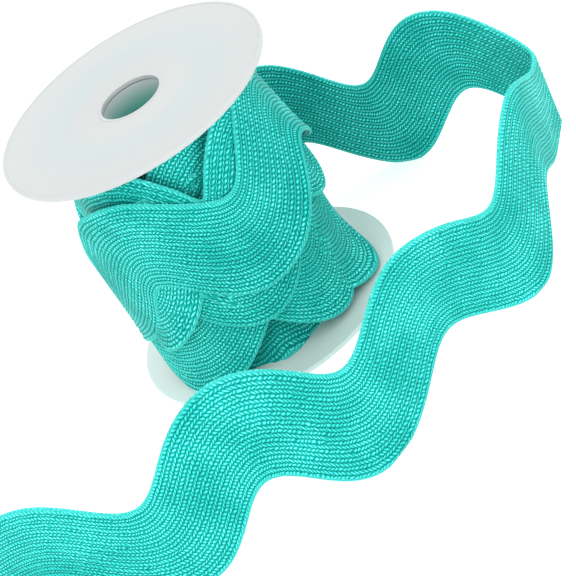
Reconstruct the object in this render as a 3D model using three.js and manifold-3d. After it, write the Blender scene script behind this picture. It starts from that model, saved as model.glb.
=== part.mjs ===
// A roll of wide ric rac: a light plastic spool standing on its lower flange, the trim wound on it
// in wavy turns, and a loose end that stands on its edge in a long loop round the spool.
// Millimetres, +Z up. The spool's axis is vertical; the trim runs clockwise seen from above.
import * as THREE from 'three';
import { mergeVertices } from 'three/addons/utils/BufferGeometryUtils.js';
import Module from 'manifold-3d';

// Spool
const flangeRadius = 45;
const flangeThickness = 1.5;
const spoolHeight = 89.4;
const boreRadius = 10.1;
const tubeWall = 2.5;
const shoulder = { width: 1.5, depth: 2.5 };
const seatGap = 0.3;
const roundSteps = 64;

// Ric rac: a flat braided strip with a wavy centre line
const stripWidth = 31.8;
const stripThickness = 1.8;
const waveDepth = 9.0;
const waveLength = 69;
const edgeTurn = 0.22;          // how far an edge turns with the wave: 0 is straight up, 1 is square to it

// Loose end: where the strip's middle stands, and how its upper edge leans
const looseSteps = 112;
const looseColumns = 4;
const wavesAtFold = 0.695;      // waves counted at the sharp bend
const easedLength = 104;        // near the roll the waves are closed up
const easedWaveLength = 51.5;
const foldStation = 14;
const looseStations = [
  { x: -39.0, y: 7, mid: 40, leanX: 0, leanY: 0 },
  { x: -38.5, y: 25, mid: 37.5, leanX: 0, leanY: 0 },
  { x: -33.5, y: 43, mid: 34.5, leanX: 0, leanY: 0 },
  { x: -23, y: 57, mid: 31, leanX: 0, leanY: 0 },
  { x: -9, y: 65.5, mid: 27.5, leanX: 0.04, leanY: 0.03 },
  { x: 7.5, y: 66, mid: 25, leanX: 0.1, leanY: 0.05 },
  { x: 23, y: 60.5, mid: 23, leanX: 0.1, leanY: 0.07 },
  { x: 39, y: 52, mid: 22.3, leanX: 0.01, leanY: 0.06 },
  { x: 53, y: 41, mid: 23.5, leanX: -0.04, leanY: 0.11 },
  { x: 67, y: 29.5, mid: 24.7, leanX: -0.05, leanY: 0.16 },
  { x: 81.5, y: 19, mid: 27.5, leanX: -0.03, leanY: 0.1 },
  { x: 95, y: 7.5, mid: 28, leanX: -0.02, leanY: -0.05 },
  { x: 104, y: -2.5, mid: 27.5, leanX: 0, leanY: -0.17 },
  { x: 109, y: -9, mid: 26.3, leanX: 0.02, leanY: -0.24 },
  { x: 110.5, y: -14, mid: 25.1, leanX: 0.03, leanY: -0.26 },
  { x: 108, y: -19, mid: 23.8, leanX: 0.04, leanY: -0.28 },
  { x: 104, y: -25.5, mid: 21.7, leanX: 0.05, leanY: -0.26 },
  { x: 97, y: -37, mid: 19.8, leanX: 0.07, leanY: -0.14 },
  { x: 88, y: -52.5, mid: 20.2, leanX: 0.07, leanY: 0.11 },
  { x: 77, y: -66, mid: 23.7, leanX: 0.02, leanY: 0.18 },
  { x: 62.5, y: -76.5, mid: 24.6, leanX: -0.06, leanY: 0.04 },
  { x: 46, y: -84, mid: 22.3, leanX: -0.09, leanY: -0.07 },
  { x: 29.5, y: -91, mid: 21.1, leanX: -0.01, leanY: 0.02 },
  { x: 13, y: -98, mid: 23.1, leanX: 0.09, leanY: 0.21 },
  { x: -4, y: -103, mid: 26.3, leanX: 0.1, leanY: 0.34 },
  { x: -21.5, y: -105, mid: 27.6, leanX: 0.01, leanY: 0.34 },
  { x: -39.5, y: -104.5, mid: 26.7, leanX: -0.08, leanY: 0.26 },
  { x: -57, y: -101.5, mid: 24.9, leanX: -0.08, leanY: 0.14 },
  { x: -74.5, y: -97, mid: 23.4, leanX: -0.01, leanY: 0.01 },
  { x: -91.5, y: -91, mid: 24.5, leanX: 0.1, leanY: -0.14 },
  { x: -100, y: -87, mid: 26.2, leanX: 0.17, leanY: -0.22 },
];

// Winding: the inner turns as one round body, and the turns that show as wavy bands on it
const inner = { radius: 32, bottom: 4.5, top: 85 };
const bandRoot = 27;
const turnSteps = 60;
const bandColumns = 4;
const bands = [
  // lobe is the angle of a low lobe, in degrees; flare is how far the lobes stand off the roll
  { name: 'lowest', radius: 35, mid: 28.5, lobe: -15, waves: 4, flareLow: 6, flareHigh: 0 },
  { name: 'low', radius: 37, mid: 28, lobe: -62, waves: 4, flareLow: 1.5, flareHigh: 0 },
  { name: 'middle', radius: 36, mid: 43, lobe: -85, waves: 4, flareLow: 1, flareHigh: 2.5 },
  { name: 'bulging', radius: 37.5, mid: 42, lobe: -140, waves: 4, flareLow: 2, flareHigh: 3 },
  { name: 'upper', radius: 36.5, mid: 60.5, lobe: -88, waves: 4, flareLow: 0, flareHigh: 0 },
];
const outerTurn = {
  from: 150, to: -189.3,        // clockwise, in degrees
  startRadius: 36, endRadius: 39.6,
  lobe: -72, waveDegrees: 96, mid: 55, fall: 0.1266, highest: 61.5,
  flareLow: 3.5, flareHigh: 3.5,
};

const spoolPlastic = { color: 0xe6e9e8, roughness: 0.45, metalness: 0 };
const trimCloth = { color: 0x1cc9b8, roughness: 0.75, metalness: 0 };

const wasm = await Module();
wasm.setup();

const radians = THREE.MathUtils.degToRad;

// A closed mesh from a ring of points for each step along it, all rings wound the same way
function skin(rings, closed) {
  const size = rings[0].length;
  const positions = rings.flat().flatMap((point) => [point.x, point.y, point.z]);
  const indices = [];
  const last = closed ? rings.length : rings.length - 1;
  for (let i = 0; i < last; i += 1) {
    const here = i * size;
    const next = ((i + 1) % rings.length) * size;
    for (let j = 0; j < size; j += 1) {
      const k = (j + 1) % size;
      indices.push(here + j, next + j, next + k);
      indices.push(here + j, next + k, here + k);
    }
  }
  if (!closed) {
    const columns = size / 2 - 1;
    for (const [base, flip] of [[0, false], [(rings.length - 1) * size, true]]) {
      for (let j = 0; j < columns; j += 1) {
        const quad = [base + j, base + j + 1, base + size - 2 - j, base + size - 1 - j];
        const faces = [[quad[0], quad[1], quad[2]], [quad[0], quad[2], quad[3]]];
        faces.forEach((face) => indices.push(...(flip ? face.reverse() : face)));
      }
    }
  }
  const geometry = new THREE.BufferGeometry();
  geometry.setAttribute('position', new THREE.Float32BufferAttribute(positions, 3));
  geometry.setIndex(indices);
  return outward(geometry);
}

// Turns every face round where the mesh is inside out
function outward(geometry) {
  const position = geometry.attributes.position;
  const index = geometry.index;
  const a = new THREE.Vector3();
  const b = new THREE.Vector3();
  const c = new THREE.Vector3();
  let volume = 0;
  for (let i = 0; i < index.count; i += 3) {
    a.fromBufferAttribute(position, index.getX(i));
    b.fromBufferAttribute(position, index.getX(i + 1));
    c.fromBufferAttribute(position, index.getX(i + 2));
    volume += a.dot(b.cross(c));
  }
  if (volume < 0) {
    for (let i = 0; i < index.count; i += 3) {
      const swapped = index.getX(i + 1);
      index.setX(i + 1, index.getX(i + 2));
      index.setX(i + 2, swapped);
    }
  }
  return geometry;
}

function toManifold(geometry) {
  const bare = geometry.clone();
  bare.deleteAttribute('normal');
  bare.deleteAttribute('uv');
  const merged = mergeVertices(bare, 1e-4);
  const vertProperties = new Float32Array(merged.attributes.position.array);
  const triVerts = new Uint32Array(merged.index.array);
  return new wasm.Manifold(new wasm.Mesh({ numProp: 3, vertProperties, triVerts }));
}

function fromManifold(solid) {
  const mesh = solid.getMesh();
  const geometry = new THREE.BufferGeometry();
  geometry.setAttribute('position', new THREE.Float32BufferAttribute(mesh.vertProperties, 3));
  geometry.setIndex(Array.from(mesh.triVerts));
  return geometry;
}

function lathe(profile, steps) {
  const points = [...profile, profile[0]].map(([radius, z]) => new THREE.Vector2(radius, z));
  const geometry = new THREE.LatheGeometry(points, steps);
  geometry.rotateX(Math.PI / 2);
  geometry.deleteAttribute('normal');
  geometry.deleteAttribute('uv');
  return outward(mergeVertices(geometry, 1e-4));
}

// A point on the strip: u runs along it, f across it from -1 at the low edge to 1 at the high edge.
// Gives the shift along the strip and the height above its middle line.
function stripPoint(waves, length, f) {
  const angle = waves * Math.PI * 2;
  const slope = (waveDepth * Math.PI * 2 * Math.cos(angle)) / length;
  const tilt = -edgeTurn * slope;
  const scale = (f * stripWidth) / 2 / Math.hypot(1, tilt);
  return { along: tilt * scale, up: waveDepth * Math.sin(angle) + scale };
}

// A flat round flange with a shoulder on its inner face that holds the tube's end
function flangeGeometry() {
  const shoulderIn = boreRadius + tubeWall + seatGap;
  return lathe([
    [boreRadius, 0],
    [shoulderIn, 0],
    [shoulderIn, -shoulder.depth],
    [shoulderIn + shoulder.width, -shoulder.depth],
    [shoulderIn + shoulder.width, 0],
    [flangeRadius, 0],
    [flangeRadius, flangeThickness],
    [boreRadius, flangeThickness],
  ], roundSteps);
}

function tubeGeometry() {
  const low = flangeThickness + seatGap;
  const high = spoolHeight - flangeThickness - seatGap;
  return lathe([
    [boreRadius, low],
    [boreRadius + tubeWall, low],
    [boreRadius + tubeWall, high],
    [boreRadius, high],
  ], roundSteps / 2);
}

// One wavy band on the roll, from the root inside the winding out to the strip's face
function bandGeometry(angles, closed, shapeAt) {
  const rings = angles.map((angle) => {
    const shape = shapeAt(angle);
    const ring = [];
    for (let j = 0; j <= bandColumns; j += 1) {
      const f = (2 * j) / bandColumns - 1;
      const point = stripPoint(shape.waves, shape.waveLength, f);
      const shift = shape.atEnd ? 0 : point.along;
      const turn = angle - THREE.MathUtils.radToDeg(shift / shape.radius);
      const lift = point.up / (waveDepth + stripWidth / 2);
      const flare = lift > 0 ? shape.flareHigh * lift ** 3 : shape.flareLow * (-lift) ** 3;
      ring.push({ turn, radius: shape.radius + flare, z: shape.mid + point.up });
    }
    for (let j = bandColumns; j >= 0; j -= 1) {
      ring.push({ turn: ring[j].turn, radius: bandRoot, z: ring[j].z });
    }
    return ring.map(({ turn, radius, z }) => new THREE.Vector3(
      radius * Math.cos(radians(turn)), radius * Math.sin(radians(turn)), z,
    ));
  });
  return skin(rings, closed);
}

function closedBand(band) {
  const angles = Array.from({ length: turnSteps }, (_, i) => -(i * 360) / turnSteps);
  return bandGeometry(angles, true, (angle) => ({
    ...band,
    waves: ((band.lobe - angle) * band.waves) / 360 - 0.25,
    waveLength: (2 * Math.PI * band.radius) / band.waves,
  }));
}

function outerBand() {
  const { from, to, startRadius, endRadius, lobe, waveDegrees } = outerTurn;
  const angles = Array.from({ length: turnSteps + 1 }, (_, i) => from + ((to - from) * i) / turnSteps);
  return bandGeometry(angles, false, (angle) => {
    const share = (angle - from) / (to - from);
    const radius = startRadius + (endRadius - startRadius) * share;
    return {
      radius,
      atEnd: angle === from || angle === to,
      mid: Math.min(outerTurn.highest, outerTurn.mid + (angle - lobe) * outerTurn.fall),
      waves: (lobe - angle) / waveDegrees - 0.25,
      waveLength: radians(waveDegrees) * radius,
      flareLow: outerTurn.flareLow * share,
      flareHigh: outerTurn.flareHigh * share,
    };
  });
}

function windingGeometry() {
  const tubeRadius = boreRadius + tubeWall + seatGap;
  const body = lathe([
    [tubeRadius, inner.bottom],
    [inner.radius, inner.bottom],
    [inner.radius, inner.top],
    [tubeRadius, inner.top],
  ], roundSteps);
  let solid = toManifold(body);
  for (const band of bands) {
    solid = solid.add(toManifold(closedBand(band)));
  }
  solid = solid.add(toManifold(outerBand()));
  return fromManifold(solid);
}

// The loose end: a sheet on the line through its stations, standing on the surface on its low lobes
function looseEndGeometry() {
  const line = new THREE.CatmullRomCurve3(
    looseStations.map(({ x, y, mid }) => new THREE.Vector3(x, y, mid)), false, 'centripetal',
  );
  const lean = new THREE.CatmullRomCurve3(
    looseStations.map(({ leanX, leanY }) => new THREE.Vector3(leanX, leanY, 1)), false, 'catmullrom',
  );
  const samples = 2400;
  const lengths = [0];
  let previous = line.getPoint(0);
  for (let i = 1; i <= samples; i += 1) {
    const point = line.getPoint(i / samples);
    lengths.push(lengths[i - 1] + point.distanceTo(previous));
    previous = point;
  }
  const total = lengths[samples];
  const parameterAt = (length) => {
    const wanted = THREE.MathUtils.clamp(length, 0, total);
    let i = lengths.findIndex((value) => value >= wanted);
    i = Math.max(i, 1);
    const part = (wanted - lengths[i - 1]) / (lengths[i] - lengths[i - 1]);
    return (i - 1 + part) / samples;
  };
  const foldLength = lengths[Math.round((foldStation / (looseStations.length - 1)) * samples)];
  const wavesAt = (length) => {
    const straight = wavesAtFold + (Math.max(length, easedLength) - foldLength) / waveLength;
    return straight - Math.max(easedLength - length, 0) / easedWaveLength;
  };
  const frameAt = (length) => {
    const t = parameterAt(length);
    const centre = line.getPoint(t);
    const up = lean.getPoint(t).normalize();
    const ahead = line.getTangent(t);
    const normal = ahead.cross(up).normalize();
    return { centre, up, normal };
  };
  const rings = [];
  for (let i = 0; i <= looseSteps; i += 1) {
    const length = (total * i) / looseSteps;
    const localWave = length < easedLength ? easedWaveLength : waveLength;
    const faces = [[], []];
    for (let j = 0; j <= looseColumns; j += 1) {
      const point = stripPoint(wavesAt(length), localWave, (2 * j) / looseColumns - 1);
      const shift = i === 0 || i === looseSteps ? 0 : point.along;
      const { centre, up, normal } = frameAt(length + shift);
      const middle = centre.addScaledVector(up, point.up);
      faces.forEach((face, side) => {
        const spot = middle.clone().addScaledVector(normal, (side - 0.5) * stripThickness);
        spot.z = Math.max(spot.z, 0);
        face.push(spot);
      });
    }
    rings.push([...faces[0], ...faces[1].reverse()]);
  }
  return skin(rings, false);
}

function part(name, geometry, look) {
  const mesh = new THREE.Mesh(geometry, new THREE.MeshStandardMaterial(look));
  mesh.name = name;
  return mesh;
}

const lowerFlange = part('lower_flange', flangeGeometry(), spoolPlastic);
lowerFlange.rotation.x = Math.PI;
lowerFlange.position.z = flangeThickness;
const upperFlange = part('upper_flange', flangeGeometry(), spoolPlastic);
upperFlange.position.z = spoolHeight - flangeThickness;

const ricRacRoll = new THREE.Group();
ricRacRoll.add(
  lowerFlange,
  upperFlange,
  part('core_tube', tubeGeometry(), spoolPlastic),
  part('wound_roll', windingGeometry(), trimCloth),
  part('loose_end', looseEndGeometry(), trimCloth),
);

// The origin is in the middle of the whole roll's footprint, on the surface it stands on
ricRacRoll.updateMatrixWorld(true);
const middle = new THREE.Box3().setFromObject(ricRacRoll, true).getCenter(new THREE.Vector3());
ricRacRoll.position.set(-middle.x, -middle.y, 0);

export default ricRacRoll;
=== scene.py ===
# A spool of wide ric rac, dressed: the milky plastic spool, the trim wound on it in wavy turns, and the
# long loose end that stands on its edge. One strip of trim is laid along one line from the first turn
# that shows to the cut end. Sizes in the dictionaries are in millimetres and degrees.
import math

import bpy
import numpy as np
from mathutils import Matrix, Vector


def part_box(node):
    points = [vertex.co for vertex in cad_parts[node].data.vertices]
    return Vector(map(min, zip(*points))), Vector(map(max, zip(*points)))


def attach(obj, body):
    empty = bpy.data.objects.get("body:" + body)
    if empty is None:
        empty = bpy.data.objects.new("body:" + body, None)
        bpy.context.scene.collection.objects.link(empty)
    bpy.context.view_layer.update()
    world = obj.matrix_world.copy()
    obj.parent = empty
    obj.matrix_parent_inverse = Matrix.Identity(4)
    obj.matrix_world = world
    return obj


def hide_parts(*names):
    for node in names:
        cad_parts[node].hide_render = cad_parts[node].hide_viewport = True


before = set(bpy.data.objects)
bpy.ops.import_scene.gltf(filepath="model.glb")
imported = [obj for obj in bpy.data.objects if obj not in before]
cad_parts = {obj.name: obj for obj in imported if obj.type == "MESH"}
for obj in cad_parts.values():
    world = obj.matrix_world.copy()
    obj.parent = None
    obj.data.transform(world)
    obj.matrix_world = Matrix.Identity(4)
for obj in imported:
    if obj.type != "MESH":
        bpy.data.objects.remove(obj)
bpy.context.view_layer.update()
mm = 0.001

# The spool's axis, by which the camera and every new piece are placed
tubeLow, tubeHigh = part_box("core_tube")
axisX = (tubeLow[0] + tubeHigh[0]) / 2
axisY = (tubeLow[1] + tubeHigh[1]) / 2


# The camera
camera = {
    "place": (8.082, -617.427, 387.104),    # from the foot of the spool's axis
    "downwards": 31.97,
    "roll": -33.39,
    "lens": 141.27,
    "sensor": 36,
    "nearest": 50,              # what it sees lies between these distances
    "farthest": 20000,
}


def setCamera():
    data = bpy.data.cameras.new("camera")
    data.lens = camera["lens"]
    data.sensor_width = camera["sensor"]
    data.clip_start = camera["nearest"] * mm
    data.clip_end = camera["farthest"] * mm
    eye = bpy.data.objects.new("camera", data)
    bpy.context.scene.collection.objects.link(eye)
    x, y, z = camera["place"]
    place = Matrix.Translation((x * mm + axisX, y * mm + axisY, z * mm))
    pitch = Matrix.Rotation(math.radians(90 - camera["downwards"]), 4, "X")
    eye.matrix_world = place @ pitch @ Matrix.Rotation(math.radians(camera["roll"]), 4, "Z")
    bpy.context.scene.camera = eye


setCamera()
print("camera set")


# Shader maths: a Value is a socket that can be used in a sum
class Value:
    def __init__(self, look, socket):
        self.look = look
        self.socket = socket

    def maths(self, operation, first, second=None):
        links = {0: first} if second is None else {0: first, 1: second}
        return self.look.node("Math", {"operation": operation}, links)

    def __add__(self, other):
        return self.maths("ADD", self, other)

    __radd__ = __add__

    def __sub__(self, other):
        return self.maths("SUBTRACT", self, other)

    def __rsub__(self, other):
        return self.maths("SUBTRACT", other, self)

    def __mul__(self, other):
        return self.maths("MULTIPLY", self, other)

    __rmul__ = __mul__

    def __truediv__(self, other):
        return self.maths("DIVIDE", self, other)

    def __pow__(self, other):
        return self.maths("POWER", self, other)

    def __abs__(self):
        return self.maths("ABSOLUTE", self)

    def floor(self):
        return self.maths("FLOOR", self)

    def fraction(self):
        return self.maths("FRACT", self)

    def cosine(self):
        return self.maths("COSINE", self)

    def ramp(self, low, high):      # 0 at low, 1 at high, smooth between
        settings = {"interpolation_type": "SMOOTHSTEP"}
        return self.look.node("MapRange", settings, {0: self, 1: low, 2: high})


class Look:
    def __init__(self, name):
        self.material = bpy.data.materials.new(name)
        self.material.use_nodes = True
        self.tree = self.material.node_tree
        self.shader = self.tree.nodes["Principled BSDF"]

    def feed(self, socket, value):
        if isinstance(value, Value):
            self.tree.links.new(value.socket, socket)
        else:
            socket.default_value = value

    def node(self, kind, settings=None, links=None, out=0):
        node = self.tree.nodes.new("ShaderNode" + kind)
        for key, value in (settings or {}).items():
            setattr(node, key, value)
        for key, value in (links or {}).items():
            self.feed(node.inputs[key], value)
        return Value(self, node.outputs[out])

    def part(self, vector, axis):       # 0 is x, 1 is y and 2 is z
        return self.node("SeparateXYZ", None, {0: vector}, axis)

    def noise(self, place, scale, detail):
        return self.node("TexNoise", None, {"Vector": place, "Scale": scale, "Detail": detail})

    def mixed(self, share, first, second):
        return self.node("Mix", {"data_type": "RGBA"}, {0: share, 6: first, 7: second}, 2)

    def finish(self, **sockets):
        for name, value in sockets.items():
            self.feed(self.shader.inputs[name.replace("_", " ")], value)
        return self.material


def linear(red, green, blue):       # a colour as it is seen on screen, 0 to 255
    def one(part):
        part = part / 255
        return part / 12.92 if part <= 0.04045 else ((part + 0.055) / 1.055) ** 2.4
    return (one(red), one(green), one(blue), 1)


def clearSelection():
    if bpy.context.object and bpy.context.object.mode != "OBJECT":
        bpy.ops.object.mode_set(mode="OBJECT")
    bpy.ops.object.select_all(action="DESELECT")


# The trim's cloth: rows of leaning stitches, two rows to a rib, with a plain selvedge, painted shade in
# the hollows and painted highlights on the stitch tops
cloth = {
    "rows": 24,                 # across the strip
    "grain": 1.02,              # one stitch along a row
    "slant": 0.85,              # how far a stitch leans across its row
    "stray": 1.5,               # how far stitches stray along their row
    "rowStray": 0.6,            # how far they stray across it
    "rowSwell": (0.1, 0.5),     # how high it stays between rows, and how peaked a row is
    "stitchSwell": (0.15, 0.6),     # the same for the stitches of a row
    "stitchHeight": 0.2,
    "selvedge": (0.5, 0.2),     # how far in from the edge it begins, and is full
    "selvedgeHeight": 0.9,      # as a share of a stitch's
    "selvedgeTint": 0.35,
    # painted shade: the dark colour in the hollows between rows and stitches
    "grooveShade": linear(0, 100, 94),
    "body": linear(0, 188, 178),
    # painted highlight: the pale colour on the tops of the stitches
    "light": linear(124, 250, 243),
    "edge": linear(90, 232, 224),
    "bodyAt": (0.12, 0.62),     # heights between which the painted shade of the grooves gives way to the body's colour
    "highlightAt": (0.66, 1.04),    # and the body's colour to the painted highlight
    "highlightPatchAt": (0.3, 0.62),
    "leastHighlight": 0.4,          # of the painted highlight, between the patches
    "mottle": 0.3,              # how much fibres and patches count beside the stitches
    "patchScale": 60,
    "fibreScale": 2600,
    "strayScale": 420,
    "roughness": 0.7,
    "smoother": 0.16,           # how much less rough a stitch's top is
    "sheen": 0.03,
    "sheenRoughness": 0.4,
    "specular": 0.14,
}


def swell(wave, hollow, power):     # 1 in the middle of each wave, and hollow between two
    return (((wave * (2 * math.pi)).cosine() * 0.5 + 0.5) * (1 - hollow) + hollow) ** power


def makeCloth(width):
    look = Look("ric_rac_cloth")
    uv = look.node("UVMap", {"uv_map": "strip"})
    along, across = look.part(uv, 0), look.part(uv, 1)
    place = look.node("TexCoord", out="Object")
    patches = look.noise(place, cloth["patchScale"], 2)
    fibres = look.noise(place, cloth["fibreScale"], 1)
    stray = look.noise(place, cloth["strayScale"], 1) - 0.5
    pitch = width / cloth["rows"] * mm
    row = across / pitch + cloth["rows"] / 2 + stray * cloth["rowStray"]
    parity = (row.floor() * 0.5).fraction() * 2         # 0 or 1, row by row
    inRow = row.fraction() - 0.5
    lean = (1 - parity * 2) * cloth["slant"] * inRow
    stitch = along / (cloth["grain"] * mm) + parity * 0.5 + lean + stray * cloth["stray"]
    height = swell(inRow, *cloth["rowSwell"]) * swell(stitch, *cloth["stitchSwell"])
    begins, full = cloth["selvedge"]
    selvedge = abs(across).ramp((width / 2 - begins) * mm, (width / 2 - full) * mm)
    shown = height + (fibres - 0.5) * cloth["mottle"] + (patches - 0.5) * cloth["mottle"]
    # painted shade in the low hollows between rows and stitches
    colour = look.mixed(shown.ramp(*cloth["bodyAt"]), cloth["grooveShade"], cloth["body"])
    # painted highlights on the stitch tops, stronger in soft patches
    patchyHighlight = patches.ramp(*cloth["highlightPatchAt"]) * (1 - cloth["leastHighlight"]) + cloth["leastHighlight"]
    colour = look.mixed(shown.ramp(*cloth["highlightAt"]) * patchyHighlight, colour, cloth["light"])
    colour = look.mixed(selvedge * cloth["selvedgeTint"], colour, cloth["edge"])
    raised = height * (1 - selvedge) + selvedge * cloth["selvedgeHeight"]
    relief = raised * (cloth["stitchHeight"] * mm)
    normal = look.node("Bump", None, {"Strength": 1.0, "Distance": 1.0, "Height": relief})
    return look.finish(
        Base_Color=colour, Normal=normal, Roughness=cloth["roughness"] - height * cloth["smoother"],
        Sheen_Weight=cloth["sheen"], Sheen_Roughness=cloth["sheenRoughness"],
        Specular_IOR_Level=cloth["specular"],
    )


# The strip of trim
strip = {
    "width": 31.8,              # from edge to edge
    "thickness": 1.5,
    "waveDepth": 9.0,
    "edgeTurn": 0.22,           # how far an edge turns with the wave
    "ribs": 12,
    "rib": 0.32,                # how far a rib stands up
    "ribSunk": 0.6,             # the share of it that lies below the strip's face
    "ribPower": 0.6,            # under 1 makes broad ribs with narrow grooves
    "thinFrom": 1.2,            # the strip thins out from here to its edge
    "edgeShare": 0.72,          # of the thickness that is left at the edge
    "edgeReach": 0.5,           # how far the rounded edge stands out
    "edgeCorners": (60, 20, -20, -60),
    "columnsPerRib": 7,
    "step": 1.95,               # between two sections along the strip
    "lowest": 0.05,             # how near the floor it may come
    "smoothUnder": 50,
}

# The winding, from its first turn that shows. Each entry says how far round the spool it is, clockwise
# from above, the waves so far (a whole number is a low lobe, a half a high one), and the strip's radius
# and middle height. Then, where it isn't upright and flat: how far its top leans in, how far the low and
# the high lobes curl off the roll, how far its whole lower edge stands off, and how much it is spread
# where it runs steeply up or down.
lobes = [
    (-95, 0, 32, 28.5), (0, 1, 31, 28.6), (60, 1.7, 28.4, 17), (93, 2, 27.6, 27.2, 0, 0, 0, 5.6),
    (126, 2.3, 29, 16, 0, 0, 0, 4.4), (195, 3, 32, 28.5), (292, 4, 32.6, 28.5),
    (384, 5, 33.4, 28.2, 0, 6.6), (409, 5.2, 34.6, 26.4, 0, 4), (440, 5.5, 33.4, 28),
    (494, 6, 36, 27.2, 0, 4), (520, 6.22, 37.8, 22.6, 0, 1), (548, 6.5, 34.6, 27), (600, 7, 33.6, 28),
    (693, 8, 33, 28.6), (735, 8.5, 32.4, 29), (778, 9, 35.2, 29.2, 0, 2.4), (883, 10, 34.2, 40),
    (979, 11, 34, 41), (1074, 12, 32.4, 43), (1170, 13, 36.2, 44.4, 0, 1.2), (1265, 14, 35.6, 42, 0.05),
    (1360, 15, 34.6, 44), (1455, 16, 32.8, 49), (1532, 17, 35.4, 50), (1573, 18, 37.7, 49.6, 0, 4.5),
    (1620, 18.5, 35.6, 31), (1680, 19, 35.4, 36), (1755, 20, 35, 50, 0.08), (1822, 21, 35.2, 59.4, 0.1),
    (1888, 22, 36.8, 59.2), (1921, 22.5, 36, 62, 0.05), (1948, 22.62, 33.4, 62, 0.04),
    (1966, 22.8, 31.4, 60, 0.04), (1988, 23, 31.2, 57, 0.06), (2062, 24, 34, 56, 0.15),
    (2139, 25, 36, 63, 0.14), (2164, 25.25, 36.8, 65, 0.17, 0, 0, 1),
    (2188, 25.5, 37.6, 62.8, 0.19, 0, 0, 2, 0.3), (2235, 26, 38.4, 56.4, 0.03, 1.5, 0, 0, 0.3),
    (2261, 26.25, 38.4, 53, 0, 0, 0, 0, 0.1), (2288, 26.5, 38.4, 53, 0, 0, 0, 0, 0.3),
    (2309, 26.75, 38.2, 50.5, 0, 0, 0, 0, 0.9), (2330, 27, 37.7, 43.5, 0, 0.8, 0, 0, 1),
    (2350, 27.25, 37.9, 35), (2374, 27.5, 38.4, 26),
]
windingEnd = 2362               # where the strip leaves the roll
partings = (1000, 1970)         # where the strip is parted into pieces, out of sight

# One turn deeper in the roll, which shows under the top flange and between the others
deepLobes = [
    (-60, 0, 32.4, 60, 0.08), (16, 1, 32.2, 60.5, 0.12), (126, 2, 32.2, 65, 0.05),
    (167, 2.5, 28.4, 60, 0.02), (208, 3, 28.6, 60, 0.04), (304, 4, 31, 59, 0.1),
    (400, 5, 32, 52), (496, 6, 31.6, 44), (592, 7, 31.4, 44), (688, 8, 31.2, 44),
]
deepEnd = 660

# The loose end, from the roll to the cut end: where the strip's middle line runs, from the spool's axis
# and the floor, and how far its upper edge leans along x and y for each step up
looseLine = [
    (-30.5, 28, 26.5, 0, 0), (-24.5, 41.5, 27, 0, 0), (-16, 54, 28, 0, 0), (-5, 62.5, 27.5, 0.04, 0.03),
    (7.5, 66, 25, 0.1, 0.05), (23, 60.5, 23, 0.1, 0.07), (39, 52, 22.3, 0.01, 0.06),
    (53, 41, 23.5, -0.04, 0.11), (67, 29.5, 24.7, -0.05, 0.16), (81.5, 19, 27.5, -0.03, 0.1),
    (95, 7.5, 28, -0.02, -0.05), (104, -2.5, 27.6, 0, -0.17), (109, -9, 27, 0.02, -0.24),
    (110.5, -14, 26.6, 0.03, -0.26), (108, -19, 26.3, 0.04, -0.28), (104, -25.5, 24.7, 0.05, -0.26),
    (97, -37, 21.2, 0.07, -0.14), (88, -52.5, 20.2, 0.07, 0.11), (77, -66, 23.7, 0.02, 0.18),
    (62.5, -76.5, 24.6, -0.06, 0.04), (46, -84, 22.3, -0.09, -0.07), (29.5, -91, 21.1, -0.01, 0.02),
    (13, -98, 23.1, 0.09, 0.21), (-4, -103, 26, 0.1, 0.34), (-21.5, -105, 26.9, 0.01, 0.34),
    (-39.5, -104.5, 25.6, -0.08, 0.26), (-57, -101.5, 24.1, -0.08, 0.14), (-74.5, -97, 23.4, -0.01, 0.01),
    (-91.5, -91, 24.5, 0.1, -0.14), (-100, -87, 26.2, 0.17, -0.22), (-107.5, -83.2, 27.6, 0.2, -0.26),
]
looseWaves = {
    "foldStation": 13,          # the entry of looseLine at the sharp bend
    "wavesAtFold": 0.695,       # how far through its wave the strip is there
    "waveLength": 69,
    "easedUntil": 62,           # as far as this past the roll the waves are closed up to fit
    "nearRoll": 55,             # about what one measures there, which settles how many there are
}

laying = {
    "columns": 9,               # in a full row of lobes
    "degrees": 9.0,             # between two stations of the winding
    "samples": 24,              # along the line from one station to the next
    "fine": 0.5,                # between the places where the strip's run is worked out
    "evening": 22,              # the fine steps to each side over which the waves are evened out
}


def smoothThrough(rows, places):    # rows of numbers, one curve through them, sampled at row numbers
    rows = np.array(rows, float)
    rows = np.vstack([2 * rows[0] - rows[1], rows, 2 * rows[-1] - rows[-2]])
    k = np.clip(np.floor(places).astype(int), 0, len(rows) - 4)
    t = (places - k)[:, None]
    a, b, c, d = rows[k], rows[k + 1], rows[k + 2], rows[k + 3]
    bent = (2 * a - 5 * b + 4 * c - d) * t ** 2 + (3 * b - a - 3 * c + d) * t ** 3
    return 0.5 * (2 * b + (c - a) * t + bent)


def centripetal(points, each):      # an even curve through points, which never loops between them
    points = np.array(points, float)
    full = np.vstack([2 * points[0] - points[1], points, 2 * points[-1] - points[-2]])
    made = []
    for i in range(len(points) - 1):
        p = full[i:i + 4]
        gaps = np.sqrt(np.linalg.norm(np.diff(p, axis=0), axis=1))
        inward = (p[1] - p[0]) / gaps[0] - (p[2] - p[0]) / (gaps[0] + gaps[1]) + (p[2] - p[1]) / gaps[1]
        onward = (p[2] - p[1]) / gaps[1] - (p[3] - p[1]) / (gaps[1] + gaps[2]) + (p[3] - p[2]) / gaps[2]
        inward, onward = inward * gaps[1], onward * gaps[1]
        t = np.linspace(0, 1, each, endpoint=False)[:, None]
        made.append(
            p[1] + inward * t + (-3 * p[1] + 3 * p[2] - 2 * inward - onward) * t ** 2
            + (2 * p[1] - 2 * p[2] + inward + onward) * t ** 3
        )
    return np.vstack(made + [points[-1:]])


def evened(values, reach):          # a running mean, the ends held
    padded = np.pad(values, reach, mode="edge")
    return np.convolve(padded, np.ones(2 * reach + 1) / (2 * reach + 1), mode="valid")


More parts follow.
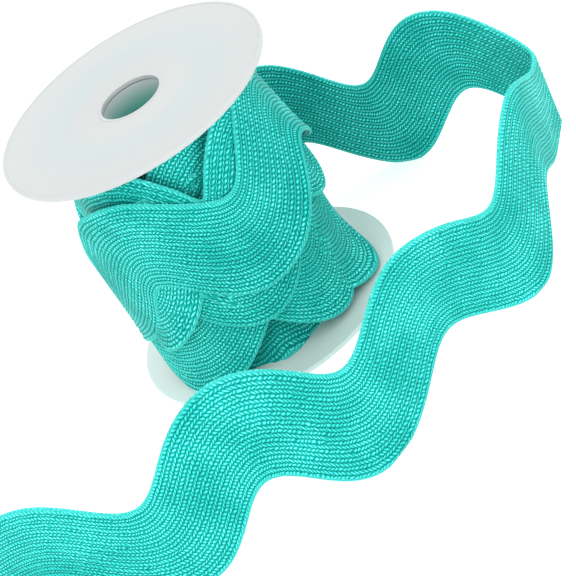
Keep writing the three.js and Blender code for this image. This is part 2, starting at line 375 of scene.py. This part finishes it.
# Stations of the winding: how far round each is, and its middle line, its lean along x and y, the curl
# of the low and the high lobes, the stand-off and the spread
def woundStations(table, end):
    table = np.array([row + (0,) * (laying["columns"] - len(row)) for row in table], float)
    turned = np.arange(table[0, 0], end + 0.1, laying["degrees"])
    turned[-1] = end                    # the last station is moved to the very end
    rows = smoothThrough(table[:, 2:], np.interp(turned, table[:, 0], np.arange(len(table))))
    radius, middle, lean = rows[:, :3].T
    outX, outY = np.cos(np.radians(-turned)), np.sin(np.radians(-turned))
    place = [radius * outX, radius * outY, middle, -lean * outX, -lean * outY]
    return turned, np.column_stack(place + [rows[:, 3:]])


# The line along which a strip is laid: at each fine step where its middle runs, how far the wave has it
# up or down, and which way it leans and faces
def makeLine(table, end, loose):
    turned, stations = woundStations(table, end)
    woundCount = len(stations)
    if loose:
        plain = np.zeros((len(loose), stations.shape[1] - len(loose[0])))
        stations = np.vstack([stations, np.hstack([np.array(loose), plain])])
    each = laying["samples"]
    centre = centripetal(stations[:, :3], each)
    places = np.arange(len(centre)) / each
    extra = smoothThrough(stations[:, 3:], places)
    distance = np.concatenate([[0], np.cumsum(np.linalg.norm(np.diff(centre, axis=0), axis=1))])
    # the waves are counted by the lobes on the roll, and by length along the loose end
    shown = np.array([row[:2] for row in table if row[0] <= turned[-1]])
    knots = np.interp(np.interp(shown[:, 0], turned, np.arange(woundCount)), places, distance)
    counts = shown[:, 1] - 0.25         # a sine is lowest a quarter before each whole wave
    if loose:
        fold = distance[(woundCount + looseWaves["foldStation"]) * each]
        eased = distance[woundCount * each] + looseWaves["easedUntil"]
        atEased = looseWaves["wavesAtFold"] - (fold - eased) / looseWaves["waveLength"]
        atEnd = looseWaves["wavesAtFold"] + (distance[-1] - fold) / looseWaves["waveLength"]
        whole = round(counts[-1] + (eased - knots[-1]) / looseWaves["nearRoll"] - atEased)
        knots = np.concatenate([knots, [eased, distance[-1]]])
        counts = np.concatenate([counts, np.array([atEased, atEnd]) + whole])
    even = np.arange(0, distance[-1], laying["fine"])
    slope = (counts[-1] - counts[-2]) / (knots[-1] - knots[-2])
    counted = np.interp(even, knots, counts) + np.maximum(even - knots[-1], 0) * slope
    up = strip["waveDepth"] * np.sin(2 * np.pi * evened(counted, laying["evening"]))
    rows = np.stack([np.interp(even, distance, column) for column in np.hstack([centre, extra]).T], axis=1)
    lean = np.column_stack([rows[:, 3:5], np.ones(len(rows))])
    lean /= np.linalg.norm(lean, axis=1)[:, None]
    out = np.cross(lean, np.gradient(rows[:, :3], axis=0))
    out /= np.linalg.norm(out, axis=1)[:, None]
    return {
        "at": even, "up": up, "slope": np.gradient(up, laying["fine"]), "length": even[-1],
        "centre": rows[:, :3], "lean": lean, "out": out, "curl": rows[:, 5:8], "spread": rows[:, 8],
        "turned": turned, "reached": np.interp(np.arange(woundCount), places, distance),
    }


def alongLine(line, kind, distance):
    return np.stack([np.interp(distance, line["at"], column) for column in line[kind].T], axis=-1)


def sectionLoop():      # places round the strip's section: across (-1 low edge, 1 high edge) and depth
    f = np.linspace(-1, 1, strip["columnsPerRib"] * strip["ribs"] + 1)
    half = strip["thickness"] / 2
    ribAt = (f + 1) / 2 * strip["ribs"]
    rib = strip["rib"] * (0.5 - 0.5 * np.cos(2 * np.pi * ribAt)) ** strip["ribPower"]
    ease = np.minimum(1, (1 - np.abs(f)) * strip["width"] / 2 / strip["thinFrom"])
    thinned = strip["edgeShare"] + (1 - strip["edgeShare"]) * ease
    face = (half - strip["rib"] * strip["ribSunk"] + rib) * thinned
    corners = np.radians(strip["edgeCorners"])
    reach = 1 + strip["edgeReach"] * np.cos(corners) / (strip["width"] / 2)
    rim = np.column_stack([reach, strip["edgeShare"] * half * np.sin(corners)])
    outer = np.column_stack([f, face])
    loop = np.vstack([outer, rim, outer[::-1] * (1, -1), -rim])
    return np.vstack([loop, loop[:1]])


def stripPoints(line, place, f, depth):     # where points at these places on the strip lie
    up = np.interp(place, line["at"], line["up"])
    slope = np.interp(place, line["at"], line["slope"])
    spread = np.interp(place, line["at"], line["spread"])
    tilt = -strip["edgeTurn"] * slope
    across = f * strip["width"] / 2 / np.hypot(1, tilt) * (1 + spread * (np.hypot(1, slope) - 1))
    shifted = np.clip(place + tilt * across, 0, line["length"])
    centre, lean, out = [alongLine(line, kind, shifted) for kind in ("centre", "lean", "out")]
    curlLow, curlHigh, standOff = alongLine(line, "curl", shifted).T
    lift = (up + across) / (strip["waveDepth"] + strip["width"] / 2)
    curl = np.where(lift > 0, curlHigh, curlLow) * lift ** 4 + standOff * np.maximum(-f, 0) ** 4
    return centre + lean * (up + across)[:, None] + out * (depth + curl)[:, None]


def closeStrip():       # merges the grid's long seam and fills the strip's two ends
    bpy.ops.object.mode_set(mode="EDIT")
    bpy.ops.mesh.select_all(action="SELECT")
    bpy.ops.mesh.remove_doubles(threshold=1e-7)
    bpy.ops.mesh.select_all(action="DESELECT")
    bpy.ops.mesh.select_mode(type="EDGE")
    bpy.ops.mesh.select_non_manifold(
        extend=False, use_wire=False, use_multi_face=False, use_non_contiguous=False, use_verts=False,
    )
    bpy.ops.mesh.edge_face_add()
    bpy.ops.mesh.select_all(action="SELECT")
    bpy.ops.mesh.normals_make_consistent(inside=False)
    bpy.ops.object.mode_set(mode="OBJECT")


def finishTrim(piece, smoothUnder):
    bpy.ops.object.shade_smooth_by_angle(angle=math.radians(smoothUnder))
    piece.data.materials.clear()
    piece.data.materials.append(trimCloth)
    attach(piece, "root")


def layStrip(name, line, start, end):
    loop = sectionLoop()
    sections = int((end - start) / strip["step"])
    clearSelection()
    bpy.ops.mesh.primitive_grid_add(x_subdivisions=sections, y_subdivisions=len(loop) - 1, size=2)
    piece = bpy.context.object
    piece.name = piece.data.name = name
    mesh = piece.data
    flat = np.empty(len(mesh.vertices) * 3)
    mesh.vertices.foreach_get("co", flat)
    shares = (flat.reshape(-1, 3) + 1) / 2
    place = start + (end - start) * shares[:, 0]
    f, depth = loop[np.rint(shares[:, 1] * (len(loop) - 1)).astype(int)].T
    spots = stripPoints(line, place, f, depth)
    spots[:, 2] = np.maximum(spots[:, 2], strip["lowest"])
    spots = spots * mm + (axisX, axisY, 0)
    mesh.vertices.foreach_set("co", spots.ravel())
    pattern = mesh.uv_layers[0] if mesh.uv_layers else mesh.uv_layers.new()
    pattern.name = "strip"
    corners = np.empty(len(mesh.loops), int)
    mesh.loops.foreach_get("vertex_index", corners)
    both = np.column_stack([place, f * strip["width"] / 2]) * mm
    pattern.data.foreach_set("uv", both[corners].ravel())
    mesh.update()
    closeStrip()
    finishTrim(piece, strip["smoothUnder"])
    return piece


trimCloth = makeCloth(strip["width"])
trimLine = makeLine(lobes, windingEnd, looseLine)
lowEnd, highEnd = np.interp(partings, trimLine["turned"], trimLine["reached"])
lowTurns = layStrip("low_turns", trimLine, 0, lowEnd)
highTurns = layStrip("high_turns", trimLine, lowEnd, highEnd)
print("wound turns laid,", len(lowTurns.data.polygons), "and", len(highTurns.data.polygons), "faces")
looseEnd = layStrip("outer_turn_and_loose_end", trimLine, highEnd, trimLine["length"])
print("outer turn and loose end laid,", len(looseEnd.data.polygons), "faces")
deepLine = makeLine(deepLobes, deepEnd, None)
deepTurns = layStrip("deep_turns", deepLine, 0, deepLine["length"])
print("deep turns laid,", len(deepTurns.data.polygons), "faces")
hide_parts("loose_end")
for turns in (lowTurns, highTurns, deepTurns):
    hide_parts("wound_roll")
looseLength = (trimLine["length"] - highEnd) * mm
strip["width"] * mm * looseLength


# How faces are picked: one counts as level above this normal, and only an end cap has so many corners
picking = {"level": 0.9, "corners": 20}


def isLevel(face):
    return abs(face.normal.z) > picking["level"]


def isEnd(face):
    return isLevel(face) and len(face.vertices) > picking["corners"]


def selectFaces(piece, wanted):
    bpy.ops.object.mode_set(mode="EDIT")
    bpy.ops.mesh.select_mode(type="FACE")
    bpy.ops.mesh.select_all(action="DESELECT")
    bpy.ops.object.mode_set(mode="OBJECT")
    for face in piece.data.polygons:
        face.select = wanted(face)
    bpy.ops.object.mode_set(mode="EDIT")


def inset(width, depth=0):
    bpy.ops.mesh.inset(thickness=width * mm, depth=depth * mm)


def addCylinder(name, sides, radius, low, high):    # on the spool's axis, its two heights in metres
    clearSelection()
    bpy.ops.mesh.primitive_cylinder_add(
        vertices=sides, radius=radius * mm, depth=high - low,
        location=(axisX, axisY, (low + high) / 2), end_fill_type="NGON",
    )
    piece = bpy.context.object
    piece.name = piece.data.name = name
    bpy.ops.object.transform_apply(location=True, rotation=True, scale=True)
    return piece


def bridgeEnds(piece):      # joins the innermost faces of the two ends by the wall of a bore
    selectFaces(piece, isEnd)
    bpy.ops.mesh.bridge_edge_loops()
    bpy.ops.object.mode_set(mode="OBJECT")


def openBore(piece, outerRadius, boreRadius):
    selectFaces(piece, isEnd)
    bpy.ops.mesh.inset(thickness=(outerRadius - boreRadius) * mm, depth=0, use_individual=True)
    bpy.ops.object.mode_set(mode="OBJECT")
    bridgeEnds(piece)


# The turns out of sight, as one round body
heart = {
    "radius": 26.6, "low": 4.5, "high": 85, "boreRadius": 12.9, "sides": 144, "smoothUnder": 40,
    "squeeze": 0.3,             # brings its height within the width of the strip's pattern
}


def makeHeart():
    piece = addCylinder(
        "inner_winding", heart["sides"], heart["radius"], heart["low"] * mm, heart["high"] * mm,
    )
    openBore(piece, heart["radius"], heart["boreRadius"])
    mesh = piece.data
    middle = (heart["low"] + heart["high"]) / 2 * mm
    uv = mesh.uv_layers.active or mesh.uv_layers.new()
    uv.name = "strip"
    for loop in mesh.loops:
        spot = mesh.vertices[loop.vertex_index].co
        turn = math.atan2(spot.y - axisY, spot.x - axisX)
        uv.data[loop.index].uv = (turn * heart["radius"] * mm, (spot.z - middle) * heart["squeeze"])
    finishTrim(piece, heart["smoothUnder"])
    return piece


innerWinding = makeHeart()
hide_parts("wound_roll")
print("inner winding made")


# The spool's plastic: milky, with painted light: the trim's colour shining through in a ring and in the
# bore, and bounced light low down
milky = {
    "milk": linear(178, 181, 181),
    # painted light: the trim's colour, as it shines through the plastic
    "showThrough": linear(164, 182, 179),
    # painted bounced light: a paler, greener tone on the lower flange
    "low": linear(206, 218, 215),
    # painted light: the trim's colour, as it shines through the tube into the bore
    "boreShowThrough": linear(56, 180, 164),
    "showThroughIn": (16, 24),         # the painted ring of show-through comes and goes over these distances from the axis
    "showThroughOut": (26, 41),
    "showThroughShare": 0.25,
    "showThroughClouds": 0.5,
    "bouncedLightOver": (2, 30),         # heights over which the low flange's painted bounced light gives way
    "boreWall": (10.2, 10.5),   # distances from the axis over which the bore's painted show-through gives way
    "boreOver": (76, 89.6),     # and heights over which it does
    "cloudScale": 30,
    "grainScale": 900,
    "grainHeight": 0.06,
    "grainStrength": 0.25,
    "roughness": 0.34,
    "roughClouds": 0.12,
    "glow": 0.12,
    "glowReach": (4, 5, 5),
    "glowScale": 0.6,
    "specular": 0.45,
    "refraction": 1.49,
}


def overRamp(value, ends):      # a ramp between two distances in millimetres
    return value.ramp(ends[0] * mm, ends[1] * mm)


def makePlastic():
    look = Look("milky_plastic")
    place = look.node("TexCoord", out="Object")
    x, y = look.part(place, 0) - axisX, look.part(place, 1) - axisY
    z = look.part(place, 2)
    out = (x * x + y * y) ** 0.5
    clouds = look.noise(place, milky["cloudScale"], 3)
    # painted light: the trim's colour shining through the flanges in a ring
    showThroughRing = overRamp(out, milky["showThroughIn"]) * (1 - overRamp(out, milky["showThroughOut"]))
    # painted bounced light, paler and greener, on the lower flange
    low = 1 - overRamp(z, milky["bouncedLightOver"])
    # painted light inside the bore: the trim's colour shining through the tube
    inside = (1 - overRamp(out, milky["boreWall"])) * (1 - overRamp(z, milky["boreOver"]))
    paintedShowThrough = showThroughRing * (clouds * milky["showThroughClouds"] + milky["showThroughShare"])
    colour = look.mixed(paintedShowThrough, milky["milk"], milky["showThrough"])
    colour = look.mixed(low, colour, milky["low"])
    colour = look.mixed(inside, colour, milky["boreShowThrough"])
    grain = look.noise(place, milky["grainScale"], 2)
    normal = look.node("Bump", None, {
        "Strength": milky["grainStrength"], "Distance": milky["grainHeight"] * mm, "Height": grain,
    })
    return look.finish(
        Base_Color=colour, Roughness=milky["roughness"] + clouds * milky["roughClouds"], Normal=normal,
        Subsurface_Weight=milky["glow"], Subsurface_Scale=milky["glowScale"],
        Subsurface_Radius=tuple(reach * mm for reach in milky["glowReach"]),
        Specular_IOR_Level=milky["specular"], IOR=milky["refraction"],
    )


plastic = makePlastic()

# The spool: two flanges and the tube between them
spool = {
    "radius": 45, "bore": 10.1, "thickness": 1.5, "tubeWall": 2.5,
    "rim": 0.9, "slope": 0.2, "recess": 0.22, "boreLip": 0.9,
    "shoulderWidth": 1.5, "shoulderHeight": 2.5, "seatGap": 0.3,
    "edge": 0.24, "hiddenEdge": 0.03, "edgeSegments": 3, "sharpOver": 40, "smoothUnder": 35,
    "flangeSides": 160, "tubeSides": 128,
}


def finishPlastic(piece, edge):
    bevel = piece.modifiers.new("soft edges", "BEVEL")
    bevel.width = edge * mm
    bevel.segments = spool["edgeSegments"]
    bevel.limit_method = "ANGLE"
    bevel.angle_limit = math.radians(spool["sharpOver"])
    bpy.ops.object.modifier_apply(modifier=bevel.name)
    bpy.ops.object.shade_smooth_by_angle(angle=math.radians(spool["smoothUnder"]))
    piece.data.materials.append(plastic)
    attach(piece, "root")


def makeFlange(name, node):
    low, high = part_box(node)
    outwards = 1 if node == "upper_flange" else -1
    outerFace = high[2] if outwards > 0 else low[2]
    innerFace = outerFace - outwards * spool["thickness"] * mm
    heights = sorted((outerFace, innerFace))
    piece = addCylinder(name, spool["flangeSides"], spool["radius"], *heights)
    # the outer face: a rim, a slightly sunk plate, and a lip round the bore
    plate = spool["radius"] - spool["rim"] - spool["boreLip"] - spool["bore"] - 2 * spool["slope"]
    selectFaces(piece, lambda face: isEnd(face) and face.normal.z * outwards > 0)
    inset(spool["rim"])
    inset(spool["slope"], -spool["recess"])
    inset(plate)
    inset(spool["slope"], spool["recess"])
    inset(spool["boreLip"])
    bpy.ops.object.mode_set(mode="OBJECT")
    # the inner face: a shoulder that holds the tube's end
    shoulderIn = spool["bore"] + spool["tubeWall"] + spool["seatGap"]
    shoulderOut = shoulderIn + spool["shoulderWidth"]
    selectFaces(piece, lambda face: isEnd(face) and face.normal.z * outwards < 0)
    inset(spool["radius"] - shoulderOut)
    inset(spool["shoulderWidth"])
    inset(shoulderIn - spool["bore"])
    bpy.ops.object.mode_set(mode="OBJECT")

    def onShoulder(face):
        out = math.hypot(face.center.x - axisX, face.center.y - axisY) / mm
        return isLevel(face) and face.normal.z * outwards < 0 and shoulderIn < out < shoulderOut

    selectFaces(piece, onShoulder)
    raised = -outwards * spool["shoulderHeight"] * mm
    bpy.ops.mesh.extrude_region_move(TRANSFORM_OT_translate={"value": (0, 0, raised)})
    bpy.ops.object.mode_set(mode="OBJECT")
    bridgeEnds(piece)
    finishPlastic(piece, spool["edge"])
    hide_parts(node)
    return piece


def makeTube():
    radius = spool["bore"] + spool["tubeWall"]
    piece = addCylinder("spool_tube", spool["tubeSides"], radius, tubeLow[2], tubeHigh[2])
    openBore(piece, radius, spool["bore"])
    finishPlastic(piece, spool["hiddenEdge"])
    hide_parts("core_tube")


for flangeName, flangeNode in (("top_flange", "upper_flange"), ("bottom_flange", "lower_flange")):
    flange = makeFlange(flangeName, flangeNode)
    print(flangeName, "made,", len(flange.data.polygons), "faces")
makeTube()
print("tube made")


# The floor and the light
studio = {
    "floorSize": 6000,
    "floorDrop": 0.2,           # below the spool's foot
    "floor": (0.9, 0.9, 0.9, 1),
    "floorRoughness": 0.9,
    "floorGlow": 0.45,
    "air": (1, 1, 1, 1),
    "airStrength": 1.16,
    "aim": (0, 0, 30),          # where the lamps point
    # each lamp's name, place, size and power in watts
    "lamps": [
        ("key", (-600, -1000, 620), 800, 5),
        ("fill", (850, -750, 400), 900, 4),
        ("back", (100, 700, 800), 800, 3),
    ],
}


def setStudio():
    clearSelection()
    bpy.ops.mesh.primitive_plane_add(
        size=studio["floorSize"] * mm, location=(0, 0, -studio["floorDrop"] * mm),
    )
    floor = bpy.context.object
    floor.name = "floor"
    floor.data.materials.append(Look("floor").finish(
        Base_Color=studio["floor"], Roughness=studio["floorRoughness"],
        Emission_Color=studio["air"], Emission_Strength=studio["floorGlow"],
    ))
    world = bpy.data.worlds.new("studio")
    world.use_nodes = True
    air = world.node_tree.nodes["Background"]
    air.inputs["Color"].default_value = studio["air"]
    air.inputs["Strength"].default_value = studio["airStrength"]
    bpy.context.scene.world = world
    bpy.context.scene.view_settings.view_transform = "Standard"
    for name, place, size, power in studio["lamps"]:
        light = bpy.data.lights.new(name, "AREA")
        light.size = size * mm
        light.energy = power
        lamp = bpy.data.objects.new(name, light)
        bpy.context.scene.collection.objects.link(lamp)
        lamp.location = Vector(place) * mm
        lamp.rotation_euler = (Vector(studio["aim"]) - Vector(place)).to_track_quat("-Z", "Y").to_euler()


setStudio()
print("studio set")
